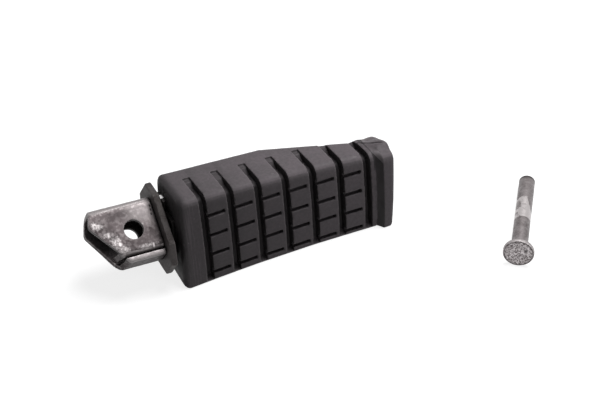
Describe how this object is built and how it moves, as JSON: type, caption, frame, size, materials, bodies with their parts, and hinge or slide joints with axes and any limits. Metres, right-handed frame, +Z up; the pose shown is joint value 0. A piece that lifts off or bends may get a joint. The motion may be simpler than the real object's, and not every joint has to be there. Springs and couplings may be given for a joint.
{
  "type": "motorcycle passenger footpeg",
  "caption": "Folding passenger footpeg: ribbed rubber tread sleeve on a core bar, eight-sided stop plate, cross-bored folded steel hinge lug, and its headed hinge pin lying alongside",
  "frame": {"origin": "middle of the underside of the bounding box, on the surface that the peg lies on", "axes": "+X along the peg from the hinge lug to the outer end, +Y from the tread face to the back, +Z up from the lower side that it lies on"},
  "size_m": [0.223, 0.1008, 0.0473],
  "materials": {
    "black_rubber": "satin, slightly dusty",
    "dark_steel": "dull, stained",
    "worn_steel": "worn bare, scuffed",
    "pin_steel": "worn, mottled"
  },
  "bodies": {
    "root": {"tread_rubber": "black_rubber", "core_bar": "dark_steel", "stop_plate": "dark_steel", "hinge_lug": "worn_steel", "hinge_pin": "pin_steel"}
  },
  "joints": []
}
